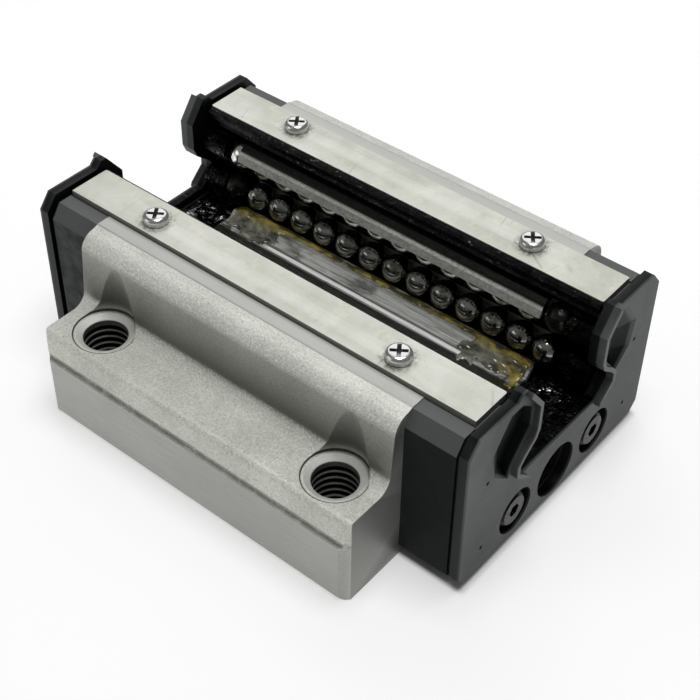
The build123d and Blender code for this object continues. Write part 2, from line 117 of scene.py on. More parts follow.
# ---- node graph helper --------------------------------------------------
class Graph:
    """One material's node tree, with short calls for the nodes used here."""

    def __init__(self, name):
        self.material = bpy.data.materials.new(name)
        self.material.use_nodes = True
        self.tree = self.material.node_tree
        self.tree.nodes.clear()
        output = self.add("ShaderNodeOutputMaterial")
        self.shader = self.add("ShaderNodeBsdfPrincipled")
        self.tree.links.new(self.shader.outputs[0], output.inputs[0])
        self.place = self.add("ShaderNodeTexCoord").outputs["Object"]
        split = self.add("ShaderNodeSeparateXYZ")
        self.tree.links.new(self.place, split.inputs[0])
        self.x, self.y, self.z = split.outputs

    def add(self, kind, **settings):
        """New node, with its settings."""
        node = self.tree.nodes.new(kind)
        for key, value in settings.items():
            setattr(node, key, value)
        return node

    def feed(self, socket, value):
        """Link or set one input, as the value asks."""
        if isinstance(value, bpy.types.NodeSocket):
            self.tree.links.new(value, socket)
        else:
            socket.default_value = value

    def set(self, **values):
        """Feed the shader's inputs; an underscore stands for a space."""
        for key, value in values.items():
            self.feed(self.shader.inputs[key.replace("_", " ")], value)

    def stretched(self, scale):
        """Object coordinates, scaled along each axis."""
        node = self.add("ShaderNodeMapping")
        self.feed(node.inputs["Vector"], self.place)
        node.inputs["Scale"].default_value = scale
        return node.outputs[0]

    def noise(self, grain, detail=3.0, rough=0.55, stretch=(1, 1, 1), distort=0.0):
        """Noise whose cells are about `grain` metres across, longer where stretch is below one."""
        node = self.add("ShaderNodeTexNoise")
        self.feed(node.inputs["Vector"], self.stretched(stretch))
        node.inputs["Scale"].default_value = 1.0 / grain
        node.inputs["Detail"].default_value = detail
        node.inputs["Roughness"].default_value = rough
        node.inputs["Distortion"].default_value = distort
        return node.outputs["Fac"]

    def spots(self, grain, low, high, detail=3.0, rough=0.65, stretch=(1, 1, 1)):
        """Mask of scattered patches: none where the noise is below `low`, full above `high`."""
        return self.span(self.noise(grain, detail, rough, stretch), low, high)

    def cell_borders(self, grain, stretch):
        """Distance from the borders of cells about `grain` metres across."""
        node = self.add("ShaderNodeTexVoronoi", feature="DISTANCE_TO_EDGE")
        self.feed(node.inputs["Vector"], self.stretched(stretch))
        node.inputs["Scale"].default_value = 1.0 / grain
        return node.outputs["Distance"]

    def calc(self, operation, a, b=0.0):
        node = self.add("ShaderNodeMath", operation=operation)
        self.feed(node.inputs[0], a)
        self.feed(node.inputs[1], b)
        return node.outputs[0]

    def span(self, value, low, high, out_low=0.0, out_high=1.0):
        """Ramp from `out_low` at `low` to `out_high` at `high`, held beyond both."""
        node = self.add("ShaderNodeMapRange")
        for socket, number in zip(node.inputs, (value, low, high, out_low, out_high)):
            self.feed(socket, number)
        return node.outputs[0]

    def colour(self, amount, first, second):
        """Mix of two colours: the first at 0, the second at 1."""
        node = self.add("ShaderNodeMix", data_type="RGBA")
        self.feed(node.inputs[0], amount)
        for index, value in ((6, first), (7, second)):
            value = value if isinstance(value, bpy.types.NodeSocket) else (*value, 1.0)
            self.feed(node.inputs[index], value)
        return node.outputs[2]

    def blend(self, amount, first, second):
        """Mix of two numbers: the first at 0, the second at 1."""
        node = self.add("ShaderNodeMix", data_type="FLOAT")
        self.feed(node.inputs[0], amount)
        self.feed(node.inputs[2], first)
        self.feed(node.inputs[3], second)
        return node.outputs[0]

    def facing(self, axis):
        """Component of the surface normal along one axis."""
        geometry = self.add("ShaderNodeNewGeometry")
        split = self.add("ShaderNodeSeparateXYZ")
        self.feed(split.inputs[0], geometry.outputs["True Normal"])
        return split.outputs[axis]

    def worn_edges(self):
        """One along convex edges, from the curvature of the mesh."""
        geometry = self.add("ShaderNodeNewGeometry")
        return self.span(geometry.outputs["Pointiness"], 0.5875, 0.6875)

    def bump(self, height, depth, strength, below=None):
        """Normal of a relief `depth` metres deep, laid over another if one is given."""
        node = self.add("ShaderNodeBump")
        self.feed(node.inputs["Height"], height)
        node.inputs["Distance"].default_value = depth
        self.feed(node.inputs["Strength"], strength)
        if below is not None:
            self.feed(node.inputs["Normal"], below)
        return node.outputs[0]


# ---- materials ----------------------------------------------------------
def from_axis(g, x, y):
    """Distance in plan from the nearest of four upright axes at (+-x, +-y)."""
    off_x = g.calc("SUBTRACT", g.calc("ABSOLUTE", g.x), x)
    off_y = g.calc("SUBTRACT", g.calc("ABSOLUTE", g.y), y)
    squares = g.calc("ADD", g.calc("MULTIPLY", off_x, off_x), g.calc("MULTIPLY", off_y, off_y))
    return g.calc("SQRT", squares)


def both(g, first, second):
    """One where both masks are one."""
    return g.calc("MULTIPLY", first, second)


def share(g, mask, amount):
    """A mask, weakened."""
    return g.calc("MULTIPLY", mask, amount)


def black_oil(g, glint=0.16, rarity=0.60):
    """Colour of oily black surfaces: nearly no reflection, with a few brighter flecks painted in as wet
    glints.
    """
    deep = g.colour(g.spots(2.5 * MM, 0.4, 0.65), (0.0012, 0.0014, 0.0013), (0.007, 0.0075, 0.0065))
    # painted glints: small brighter flecks in the oil
    glint_fleck = g.spots(0.55 * MM, rarity, rarity + 0.08, 3, 0.7, (0.6, 1, 1))
    glint_fleck = both(g, glint_fleck, g.spots(5 * MM, rarity - 0.15, rarity - 0.02))
    return g.colour(share(g, glint_fleck, 0.8), deep, (glint, glint, glint))


def ground_faces(g):
    """Masks of all the machined faces (sides, corners, mounting face, top and ends) and of the ends."""
    side = g.span(g.calc("ABSOLUTE", g.y), BLOCK_SIDE - 0.3 * MM, BLOCK_SIDE - 0.1 * MM)
    side = both(g, side, g.span(g.z, GROUND_TOP + 0.1 * MM, GROUND_TOP - 0.1 * MM))
    bottom = g.span(g.z, 0.08 * MM, 0.02 * MM)
    top = g.span(g.z, BLOCK_HIGH[2] - 0.1 * MM, BLOCK_HIGH[2] - 0.03 * MM)
    ends = g.span(g.calc("ABSOLUTE", g.x), BLOCK_END - 0.05 * MM, BLOCK_END - 0.01 * MM)
    reach = g.calc("ADD", g.calc("ABSOLUTE", g.x), g.calc("ABSOLUTE", g.y))
    chamfer = BLOCK_END + BLOCK_SIDE - 1.5 * MM
    corner = g.span(reach, chamfer - 0.1 * MM, chamfer + 0.1 * MM)
    corner = both(g, corner, g.span(g.z, GROUND_TOP + 0.1 * MM, GROUND_TOP - 0.1 * MM))
    low = g.calc("MAXIMUM", g.calc("MAXIMUM", side, bottom), corner)
    return g.calc("MAXIMUM", low, g.calc("MAXIMUM", top, ends)), ends


def blasted_colour(g):
    """Warm grey blasted skin: blotchy and speckled, painted darker on the upright web as shade, with
    painted glints on its curves near the flange.
    """
    skin = g.colour(g.spots(9 * MM, 0.35, 0.65), (0.56, 0.565, 0.51), (0.68, 0.685, 0.625))
    skin = g.colour(share(g, g.spots(0.30 * MM, 0.48, 0.64, 2), 0.38), skin, (0.26, 0.262, 0.23))
    light = g.spots(0.28 * MM, 0.54, 0.68, 2, stretch=(1, 1, 1.2))
    skin = g.colour(share(g, light, 0.40), skin, (0.98, 0.98, 0.93))
    pit = both(g, g.spots(0.7 * MM, 0.69, 0.75, 2), g.spots(7 * MM, 0.5, 0.6, 2))
    skin = g.colour(share(g, pit, 0.85), skin, (0.05, 0.05, 0.043))
    slope = g.calc("ABSOLUTE", g.facing(2))
    # painted shade: the upright web is darkened, more towards its foot
    web = both(g, g.span(slope, 0.80, 0.25), g.span(g.z, FLANGE_TOP + 0.8 * MM, FLANGE_TOP + 2.2 * MM))
    skin = g.colour(both(g, web, g.span(g.z, 27 * MM, 19 * MM, 0.45, 0.92)), skin, (0.085, 0.086, 0.070))
    # painted shade along the step just above the ground side faces
    step_shade = g.span(g.calc("ABSOLUTE", g.calc("SUBTRACT", g.z, GROUND_TOP + 0.45 * MM)), 0.7 * MM, 0.25 * MM)
    step_shade = both(g, step_shade, g.spots(1.5 * MM, 0.25, 0.5))
    skin = g.colour(share(g, step_shade, 0.55), skin, (0.10, 0.10, 0.082))
    # painted glints: bright speckles on the curved faces near the flange
    curved = both(g, g.span(slope, 0.99, 0.93), g.span(slope, 0.12, 0.35))
    painted_light = both(g, curved, g.spots(0.32 * MM, 0.48, 0.62, 2, 0.7))
    foot = both(g, painted_light, g.span(g.z, FLANGE_TOP + 0.1 * MM, FLANGE_TOP + 0.5 * MM))
    return g.colour(share(g, foot, 0.50), skin, (0.92, 0.92, 0.88))


def ground_colour(g, lines):
    """Cooler grey of the ground faces, with fine lines along the grinding."""
    face = g.colour(g.span(lines, 0.3, 0.7), (0.34, 0.345, 0.32), (0.45, 0.455, 0.425))
    face = g.colour(g.span(g.noise(14 * MM, 2), 0.4, 0.6, 0.0, 0.35), face, (0.29, 0.295, 0.27))
    face = g.colour(share(g, g.spots(0.35 * MM, 0.52, 0.66), 0.25), face, (0.20, 0.20, 0.18))
    face = g.colour(share(g, g.span(g.z, FLANGE_TOP, BLOCK_HIGH[2]), 0.42), face, (0.17, 0.175, 0.165))
    nick = both(g, g.spots(0.8 * MM, 0.66, 0.74), g.spots(12 * MM, 0.5, 0.65, 1))
    return g.colour(share(g, nick, 0.6), face, (0.12, 0.12, 0.10))


def bolt_hole_colour(g, steel):
    """Steel colour with the holes' spot faces, reliefs and seats, painted shade in the reliefs and their
    corners, and bores painted dark as shade with thread crests painted light as highlights; and the bores'
    mask.
    """
    from_hole = from_axis(g, HOLE_X, HOLE_Y)
    # painted shade: a dark line in the corner at the foot of the relief
    line = g.span(g.calc("ABSOLUTE", g.calc("SUBTRACT", from_hole, SPOT_FACE)), 0.16 * MM, 0.07 * MM)
    line = both(g, line, g.span(g.z, FLANGE_TOP + 0.4 * MM, FLANGE_TOP + 0.2 * MM))
    steel = g.colour(share(g, line, 0.9), steel, (0.02, 0.02, 0.018))
    # painted shade inside the reliefs, darker lower down
    cone = g.span(g.z, FLANGE_TOP + 0.25 * MM, RELIEF_TOP, SPOT_FACE, RELIEF_TOP_RADIUS)
    relief = g.span(g.calc("SUBTRACT", from_hole, cone), 0.16 * MM, 0.06 * MM)
    relief = both(g, relief, g.span(g.z, FLANGE_TOP + 0.2 * MM, FLANGE_TOP + 1.5 * MM))
    steel = g.colour(both(g, relief, g.span(g.z, 27 * MM, 18 * MM, 0.25, 0.72)), steel, (0.10, 0.10, 0.086))
    seat = g.span(from_hole, COUNTERSINK + 0.1 * MM, COUNTERSINK)
    seat = both(g, seat, g.span(g.z, FLANGE_TOP, FLANGE_TOP - 0.1 * MM))
    steel = g.colour(share(g, seat, 0.75), steel, (0.80, 0.80, 0.76))
    # painted shade in the bores, with painted highlights on the thread crests
    bore = g.span(from_hole, BORE_RADIUS + 0.15 * MM, BORE_RADIUS)
    bore = both(g, bore, g.span(g.z, THREAD_TOP + 0.25 * MM, THREAD_TOP))
    crest = g.span(from_hole, THREAD_CREST + 0.14 * MM, THREAD_CREST)
    return g.colour(bore, steel, g.colour(crest, (0.006, 0.006, 0.005), (0.24, 0.24, 0.215))), bore


def block_steel():
    """Blasted steel with ground faces, threads painted dark as shade, and an oily film inside the rail
    channel.
    """
    g = Graph("block_steel")
    grain = g.noise(0.32 * MM, 3, 0.7)
    lines = g.noise(0.25 * MM, 3, 0.6, stretch=(0.03, 1, 1))
    smooth, ends = ground_faces(g)
    steel = g.colour(smooth, blasted_colour(g), ground_colour(g, lines))
    # painted shade: the end faces are darkened
    steel = g.colour(share(g, ends, 0.76), steel, (0.11, 0.112, 0.10))
    steel = g.colour(share(g, g.worn_edges(), 0.55), steel, (0.82, 0.82, 0.78))
    steel, bore = bolt_hole_colour(g, steel)
    inside = g.span(g.calc("ABSOLUTE", g.y), BLOCK_CHANNEL_HALF + 0.15 * MM, BLOCK_CHANNEL_HALF)
    inside = both(g, inside, g.span(g.z, CHANNEL_FLOOR - 1.2 * MM, CHANNEL_FLOOR - 0.2 * MM))
    g.set(Base_Color=g.colour(inside, steel, black_oil(g)))
    g.set(Metallic=g.span(g.calc("MAXIMUM", inside, bore), 0.0, 1.0, 0.50, 1.0))
    rough = g.blend(smooth, g.span(grain, 0.3, 0.7, 0.46, 0.62), g.span(lines, 0.3, 0.7, 0.34, 0.46))
    g.set(Roughness=g.blend(inside, rough, g.span(g.noise(1.5 * MM, 2), 0.4, 0.6, 0.08, 0.3)))
    coarse = g.bump(grain, 0.13 * MM, share(g, g.calc("SUBTRACT", 1.0, smooth), 0.9))
    g.set(Normal=g.bump(lines, 0.012 * MM, share(g, smooth, 0.6), coarse))
    return g.material


def plate_steel():
    """Pale plated sheet with faint rolling lines, smudges, scratches and a stained screw seat."""
    g = Graph("plate_steel")
    base = g.colour(g.spots(8 * MM, 0.36, 0.64, 4), (0.50, 0.51, 0.44), (0.62, 0.625, 0.56))
    rolling = g.noise(0.35 * MM, 3, 0.6, stretch=(0.04, 1, 1))
    base = g.colour(g.span(rolling, 0.35, 0.65, 0.0, 0.16), base, (0.42, 0.42, 0.36))
    scratch = g.span(g.cell_borders(9 * MM, (1, 0.25, 1)), 0.008, 0.001)
    thin = both(g, scratch, g.spots(6 * MM, 0.54, 0.60, 1))
    base = g.colour(share(g, thin, 0.6), base, (0.30, 0.295, 0.26))
    base = g.colour(share(g, g.spots(2.6 * MM, 0.55, 0.68, 4), 0.35), base, (0.72, 0.70, 0.56))
    base = g.colour(share(g, g.spots(1.6 * MM, 0.58, 0.70, 4), 0.30), base, (0.36, 0.33, 0.22))
    base = g.colour(share(g, g.spots(0.5 * MM, 0.60, 0.72, 3, 0.7), 0.30), base, (0.26, 0.25, 0.19))
    seat = g.span(from_axis(g, PLATE_SCREW_X, PLATE_SCREW_Y), 3.2 * MM, 2.2 * MM)
    dirt = both(g, seat, g.spots(0.5 * MM, 0.42, 0.58, 3, 0.7))
    base = g.colour(share(g, dirt, 0.8), base, (0.09, 0.08, 0.055))
    # painted shade: the upright faces are darkened
    upright = g.span(g.facing(2), 0.6, 0.2)
    base = g.colour(share(g, upright, 0.8), base, (0.05, 0.05, 0.043))
    base = g.colour(share(g, g.worn_edges(), 0.6), base, (0.88, 0.88, 0.85))
    g.set(Base_Color=base, Metallic=0.40)
    g.set(Roughness=g.span(g.noise(5 * MM, 3), 0.3, 0.7, 0.38, 0.54))
    g.set(Normal=g.bump(g.calc("ADD", rolling, share(g, thin, -0.6)), 0.014 * MM, 0.6))
    return g.material


def strip_steel():
    """Polished trough under a streaky oil film: nearly black across the middle, one painted shade line, one
    painted highlight line, olive grime beside the balls.
    """
    g = Graph("retainer_strip")
    across = g.calc("ABSOLUTE", g.y)
    along = g.calc("ABSOLUTE", g.x)
    streak = g.noise(0.30 * MM, 4, 0.60, stretch=(0.03, 1, 1), distort=0.5)
    film = g.noise(4.5 * MM, 4, 0.62, stretch=(0.5, 1, 1), distort=0.6)
    base = g.colour(g.span(streak, 0.36, 0.64), (0.36, 0.365, 0.34), (0.66, 0.67, 0.64))
    base = g.colour(share(g, g.span(film, 0.50, 0.64), 0.80), base, (0.075, 0.076, 0.066))
    # the strip is painted nearly black across its middle
    middle = g.span(across, DARK_MIDDLE + 0.4 * MM, DARK_MIDDLE)
    base = g.colour(share(g, middle, 0.96), base, (0.008, 0.008, 0.007))
    shade = g.span(g.calc("ABSOLUTE", g.calc("SUBTRACT", across, SHADED_LINE)), 0.40 * MM, 0.15 * MM)
    base = g.colour(share(g, shade, 0.75), base, (0.07, 0.071, 0.064))
    # painted highlight: one bright line along the strip
    line = g.span(g.calc("ABSOLUTE", g.calc("SUBTRACT", across, HIGHLIGHT_LINE)), 0.42 * MM, 0.26 * MM)
    line = both(g, line, g.span(along, 21 * MM, 19.5 * MM))
    base = g.colour(both(g, line, g.span(streak, 0.30, 0.5, 0.85, 1.0)), base, (1.0, 1.0, 0.98))
    band = g.spots(1.6 * MM, 0.34, 0.50, 4, 0.65, (0.35, 1, 1))
    band = both(g, g.span(across, TROUGH_HALF + 1.0 * MM, TROUGH_HALF + 2.0 * MM), band)
    olive = g.colour(g.spots(0.9 * MM, 0.50, 0.66), (0.060, 0.056, 0.026), (0.19, 0.155, 0.045))
    base = g.colour(share(g, band, 0.9), base, olive)
    tarred = both(g, g.span(along, 20 * MM, 27 * MM), g.spots(1.8 * MM, 0.42, 0.54, 4))
    base = g.colour(share(g, tarred, 0.85), base, (0.020, 0.018, 0.010))
    g.set(Base_Color=base, Metallic=0.30)
    g.set(Roughness=g.span(streak, 0.3, 0.7, 0.20, 0.40))
    height = g.calc("ADD", share(g, streak, 0.12), film)
    g.set(Normal=g.bump(height, 0.12 * MM, 0.4))
    g.set(Coat_Weight=0.3, Coat_Roughness=0.08)
    return g.material


def retainer_steel():
    """Dull bent strip over the upper balls, granular with dirt, its folded leg painted black as shade."""
    g = Graph("retainer_steel")
    grit = g.noise(0.40 * MM, 3, 0.7, stretch=(0.7, 1, 1))
    base = g.colour(g.span(grit, 0.42, 0.58), (0.085, 0.085, 0.073), (0.36, 0.362, 0.33))
    oily = g.spots(3.0 * MM, 0.5, 0.64, 4, 0.6, (0.4, 1, 1))
    base = g.colour(share(g, oily, 0.6), base, (0.075, 0.073, 0.055))
    stained = both(g, g.span(g.calc("ABSOLUTE", g.x), 24 * MM, 29 * MM), g.spots(1.5 * MM, 0.44, 0.58))
    base = g.colour(share(g, stained, 0.7), base, (0.10, 0.075, 0.030))
    base = g.colour(share(g, g.worn_edges(), 0.6), base, (0.62, 0.62, 0.58))
    # painted shade: the folded leg is blackened
    leg = g.span(g.calc("ABSOLUTE", g.y), UPPER_RETAINER_LEG - 0.25 * MM, UPPER_RETAINER_LEG)
    base = g.colour(share(g, leg, 0.97), base, (0.006, 0.006, 0.006))
    g.set(Base_Color=base, Metallic=g.span(leg, 0.0, 1.0, 0.40, 1.0))
    g.set(Roughness=g.span(grit, 0.3, 0.7, 0.34, 0.56))
    g.set(Normal=g.bump(grit, 0.05 * MM, 0.6))
    return g.material


def polished_ball(name, bright, dim):
    """Polished bearing steel, dulled in patches by oil."""
    g = Graph(name)
    film = g.noise(1.4 * MM, 3)
    g.set(Base_Color=g.colour(g.span(film, 0.4, 0.65), bright, dim), Metallic=1.0)
    g.set(Roughness=g.span(g.noise(0.8 * MM, 2), 0.35, 0.7, 0.10, 0.24))
    g.set(Normal=g.bump(film, 0.01 * MM, 0.15))
    return g.material


def ball_chrome():
    """Balls of the lower and return rows, dark with oil."""
    return polished_ball("ball_chrome", (0.33, 0.332, 0.31), (0.12, 0.12, 0.10))


def upper_ball():
    """Balls of the upper rows, a lighter copy of the ball steel painted bright as highlight."""
    return polished_ball("ball_chrome_upper", (0.86, 0.86, 0.83), (0.45, 0.45, 0.41))


def buried_ball():
    """Ball in a turn, coated in old black grease."""
    g = Graph("buried_ball")
    film = g.span(g.noise(0.9 * MM, 4, 0.65), 0.60, 0.72)
    g.set(Base_Color=g.colour(film, (0.008, 0.008, 0.007), (0.14, 0.135, 0.11)), Metallic=0.7)
    g.set(Roughness=g.span(g.noise(0.8 * MM, 2), 0.35, 0.7, 0.16, 0.42))
    g.set(Normal=g.bump(g.noise(0.7 * MM, 3), 0.25 * MM, 0.7))
    return g.material


def bright_screw():
    """Bright zinc-plated screw, painted dark as shade in its cross recess and at its foot."""
    g = Graph("screw_chrome")
    grain = g.noise(0.2 * MM, 2)
    tone = g.colour(grain, (0.46, 0.46, 0.45), (0.74, 0.74, 0.73))
    # painted shade in the cross recess
    near = g.span(from_axis(g, PLATE_SCREW_X, PLATE_SCREW_Y), 1.5 * MM, 1.3 * MM)
    sunk = both(g, g.span(g.z, PLATE_TOP + 1.2 * MM, PLATE_TOP + 0.9 * MM), near)
    tone = g.colour(share(g, sunk, 0.55), tone, (0.05, 0.05, 0.048))
    # painted shade where the head meets the plate
    foot = g.span(g.z, PLATE_TOP + 0.3 * MM, PLATE_TOP + 0.05 * MM)
    tone = g.colour(share(g, foot, 0.75), tone, (0.06, 0.06, 0.055))
    g.set(Base_Color=tone, Metallic=1.0)
    g.set(Roughness=g.span(g.noise(0.5 * MM, 2), 0.3, 0.7, 0.16, 0.30))
    g.set(Normal=g.bump(grain, 0.015 * MM, 0.4))
    return g.material


def black_screw():
    """Black-oxide screw with a film of oil."""
    g = Graph("black_screw")
    tone = g.noise(0.6 * MM, 3)
    g.set(Base_Color=g.colour(tone, (0.004, 0.0045, 0.004), (0.015, 0.016, 0.015)), Metallic=0.9)
    g.set(Roughness=g.span(tone, 0.3, 0.7, 0.22, 0.40))
    g.set(Normal=g.bump(g.noise(0.15 * MM, 2), 0.01 * MM, 0.4))
    return g.material


def wet_channel(g, half_width):
    """Mask of the oily surfaces that line the rail channel."""
    inner = g.span(g.calc("ABSOLUTE", g.y), half_width + 0.3 * MM, half_width)
    return both(g, inner, g.span(g.z, CHANNEL_FLOOR - 0.8 * MM, CHANNEL_FLOOR - 0.05 * MM))


def finish_moulding(g, base, wet, roughness, grain, gloss, shaded=0.0):
    """Shared surface of the moulded parts: fine grain when dry, thick black oil when wet."""
    g.set(Base_Color=g.colour(wet, base, black_oil(g)))
    g.set(Metallic=g.calc("MAXIMUM", wet, shaded))
    drops = g.noise(1.3 * MM, 4, 0.62)
    ripples = g.noise(0.6 * MM, 3, 0.6, stretch=(0.5, 1, 1))
    dry = g.span(grain, 0.3, 0.7, roughness - 0.06, roughness + 0.06)
    g.set(Roughness=g.blend(wet, dry, g.span(ripples, 0.3, 0.7, 0.05, 0.20)))
    g.set(Specular_IOR_Level=gloss)
    fine = g.bump(grain, 0.02 * MM, 0.5)
    surface = g.calc("ADD", drops, share(g, ripples, 0.4))
    g.set(Normal=g.bump(surface, 0.6 * MM, share(g, wet, 0.9), fine))
    return g.material


def cap_plastic():
    """Black moulded resin; its upward faces are painted lighter as top light, with some dust and handling.
    """
    g = Graph("cap_plastic")
    base = g.colour(g.spots(7 * MM, 0.35, 0.65), (0.0030, 0.0042, 0.0038), (0.0075, 0.0095, 0.0088))
    # painted light, with some dust: upward faces are greyed
    base = g.colour(share(g, g.span(g.facing(2), 0.35, 0.75), 0.90), base, (0.140, 0.147, 0.143))
    rear = g.span(g.x, -GREYED_FROM, -GREYED_FROM - 2 * MM)
    rear = both(g, rear, g.span(g.calc("ABSOLUTE", g.facing(1)), 0.5, 0.9))
    rear = both(g, rear, g.spots(3 * MM, 0.25, 0.60, 4))
    base = g.colour(share(g, rear, 0.75), base, (0.078, 0.087, 0.083))
    grain = g.noise(0.22 * MM, 3, 0.6)
    base = g.colour(share(g, g.spots(0.7 * MM, 0.60, 0.74, 4), 0.08), base, (0.12, 0.125, 0.118))
    scuff = both(g, g.spots(5 * MM, 0.54, 0.68, 3, 0.55, (1, 1, 0.4)), g.span(grain, 0.42, 0.6))
    base = g.colour(share(g, scuff, 0.09), base, (0.11, 0.12, 0.115))
    base = g.colour(share(g, g.worn_edges(), 0.35), base, (0.11, 0.118, 0.115))
    return finish_moulding(g, base, wet_channel(g, CAP_CHANNEL_HALF), 0.54, grain, 0.05)


def seal_plastic():
    """Matt dark grey moulding, painted darker towards the bottom as shade and lighter in large patches
    higher up as painted light, with paler edges; its pocket painted black as shade and its lip tip painted
    lighter as highlight.
    """
    g = Graph("seal_plastic")
    base = g.colour(g.spots(6 * MM, 0.35, 0.65), (0.027, 0.032, 0.030), (0.043, 0.050, 0.047))
    # painted shade: darker towards the bottom
    base = g.colour(g.span(g.z, 20 * MM, 2 * MM, 0.0, 0.55), base, (0.010, 0.0125, 0.0115))
    # painted light: lighter in large patches higher up
    painted_light = both(g, g.spots(14 * MM, 0.40, 0.60, 2, 0.5, (1, 1, 0.7)), g.span(g.z, 8 * MM, 24 * MM))
    base = g.colour(share(g, painted_light, 0.6), base, (0.115, 0.123, 0.119))
    grain = g.noise(0.18 * MM, 3, 0.6)
    base = g.colour(g.span(grain, 0.55, 0.75, 0.0, 0.3), base, (0.12, 0.125, 0.12))
    scratch = g.span(g.cell_borders(7 * MM, (1, 0.3, 1)), 0.006, 0.001)
    scratch = both(g, scratch, g.span(g.noise(5 * MM, 1), 0.5, 0.6, 0.0, 0.35))
    base = g.colour(scratch, base, (0.2, 0.2, 0.2))
    along = g.calc("ABSOLUTE", g.x)
    # painted shade: the pocket behind the front face is blackened
    sunk = g.span(along, SEAL_FACE - 0.20 * MM, SEAL_FACE - 0.45 * MM)
    base = g.colour(share(g, sunk, 0.90), base, (0.0050, 0.0062, 0.0058))
    # painted highlight: the lip tip is lightened
    tip = g.span(along, LIP_TIP - 0.30 * MM, LIP_TIP - 0.05 * MM)
    base = g.colour(share(g, tip, 0.6), base, (0.13, 0.138, 0.134))
    base = g.colour(share(g, g.worn_edges(), 0.30), base, (0.18, 0.19, 0.185))
    behind = g.span(along, SEAL_FACE - 0.4 * MM, SEAL_FACE - 0.7 * MM)
    floor_side = both(g, g.span(g.facing(2), 0.5, 0.9), behind)
    wet = both(g, wet_channel(g, SEAL_CHANNEL_HALF), floor_side)
    return finish_moulding(g, base, wet, 0.46, grain, 0.26, sunk)


def guide_plastic():
    """Black inner guides, hardly seen."""
    g = Graph("guide_plastic")
    grain = g.noise(0.3 * MM, 3)
    base = g.colour(grain, (0.006, 0.006, 0.006), (0.016, 0.016, 0.016))
    return finish_moulding(g, base, wet_channel(g, CAP_CHANNEL_HALF), 0.4, grain, 0.3)


def seal_rubber():
    """Black rubber, shiny with oil."""
    g = Graph("seal_rubber")
    tone = g.noise(1.0 * MM, 3)
    g.set(Base_Color=black_oil(g), Metallic=0.9)
    crumb = g.spots(0.4 * MM, 0.60, 0.70, 3, 0.7)
    g.set(Roughness=g.blend(crumb, g.span(tone, 0.35, 0.65, 0.14, 0.38), 0.6))
    surface = g.calc("ADD", g.noise(0.9 * MM, 3, 0.6, stretch=(0.4, 1, 1)), share(g, crumb, 0.4))
    g.set(Normal=g.bump(surface, 0.25 * MM, 0.5))
    return g.material


def bush_brass():
    """Tarnished brass, nearly black deep inside the port."""
    g = Graph("bush_brass")
    tone = g.noise(0.7 * MM, 3)
    base = g.colour(tone, (0.045, 0.028, 0.018), (0.12, 0.072, 0.042))
    # nearly black deep inside the port
    deep = g.span(g.calc("ABSOLUTE", g.x), PORT_DEEP + 0.3 * MM, PORT_DEEP)
    base = g.colour(share(g, deep, 0.93), base, (0.006, 0.005, 0.004))
    g.set(Base_Color=base, Metallic=1.0)
    g.set(Roughness=g.span(tone, 0.3, 0.7, 0.3, 0.5))
    g.set(Normal=g.bump(g.noise(0.12 * MM, 2), 0.01 * MM, 0.5))
    return g.material


def backing_steel():
    """Blackened sheet seen only as a dark line behind the seal."""
    g = Graph("backing_steel")
    tone = g.noise(1.5 * MM, 3)
    g.set(Base_Color=g.colour(tone, (0.004, 0.004, 0.004), (0.014, 0.014, 0.014)), Metallic=0.3)
    g.set(Roughness=g.span(tone, 0.3, 0.7, 0.4, 0.6))
    return g.material


def old_grease():
    """Old grease, wet on top: grey-brown and dirty, yellow where it gathers at the strip's rim."""
    g = Graph("old_grease")
    tone = g.span(g.noise(2.4 * MM, 4, 0.55, stretch=(0.7, 1, 1), distort=0.4), 0.38, 0.64)
    dull = g.colour(tone, (0.030, 0.030, 0.022), (0.24, 0.24, 0.195))
    gold = g.colour(tone, (0.085, 0.068, 0.018), (0.44, 0.35, 0.065))
    rim = g.span(g.calc("ABSOLUTE", g.y), 6.8 * MM, 8.6 * MM)
    tip = g.span(g.x, 24.5 * MM, 28.5 * MM)
    base = g.colour(g.calc("MAXIMUM", rim, tip), dull, gold)
    dirt = g.spots(2.0 * MM, 0.50, 0.66, 4, 0.55, (0.5, 1, 1))
    g.set(Base_Color=g.colour(share(g, dirt, 0.85), base, (0.014, 0.013, 0.008)))
    g.set(Roughness=g.span(g.noise(0.7 * MM, 2), 0.35, 0.65, 0.08, 0.24))
    g.set(Normal=g.bump(g.noise(1.3 * MM, 3, 0.5), 0.10 * MM, 0.5))
    g.set(Coat_Weight=0.5, Coat_Roughness=0.06)
    return g.material


def oil_sludge():
    """Thick black oil on the cap floors, glinting on its ripples, with brighter flecks painted in as
    glints.
    """
    g = Graph("oil_sludge")
    g.set(Base_Color=black_oil(g, 0.7, 0.57), Metallic=0.9)
    g.set(Roughness=g.span(g.noise(0.9 * MM, 2), 0.35, 0.65, 0.04, 0.14))
    g.set(Normal=g.bump(g.noise(0.9 * MM, 3, 0.6, stretch=(0.6, 1, 1)), 0.30 * MM, 0.8))
    g.set(Coat_Weight=0.6, Coat_Roughness=0.05)
    return g.material


def floor_paper():
    """Plain near-white floor, faintly mottled and glowing a little except under the carriage."""
    g = Graph("floor_paper")
    tone = g.noise(60 * MM, 2)
    g.set(Base_Color=g.colour(tone, (0.60, 0.60, 0.60), (0.63, 0.63, 0.63)), Roughness=0.9)
    under_x = g.span(g.calc("ABSOLUTE", g.x), CAD_BOX[1][0], CAD_BOX[1][0] - 1.5 * MM)
    under_y = g.span(g.calc("ABSOLUTE", g.y), CAP_HIGH[1] + 0.5 * MM, CAP_HIGH[1] - 0.5 * MM)
    under = both(g, under_x, under_y)
    g.set(Emission_Color=(1.0, 1.0, 1.0, 1.0), Emission_Strength=g.span(under, 0.0, 1.0, 0.44, 0.0))
    return g.material


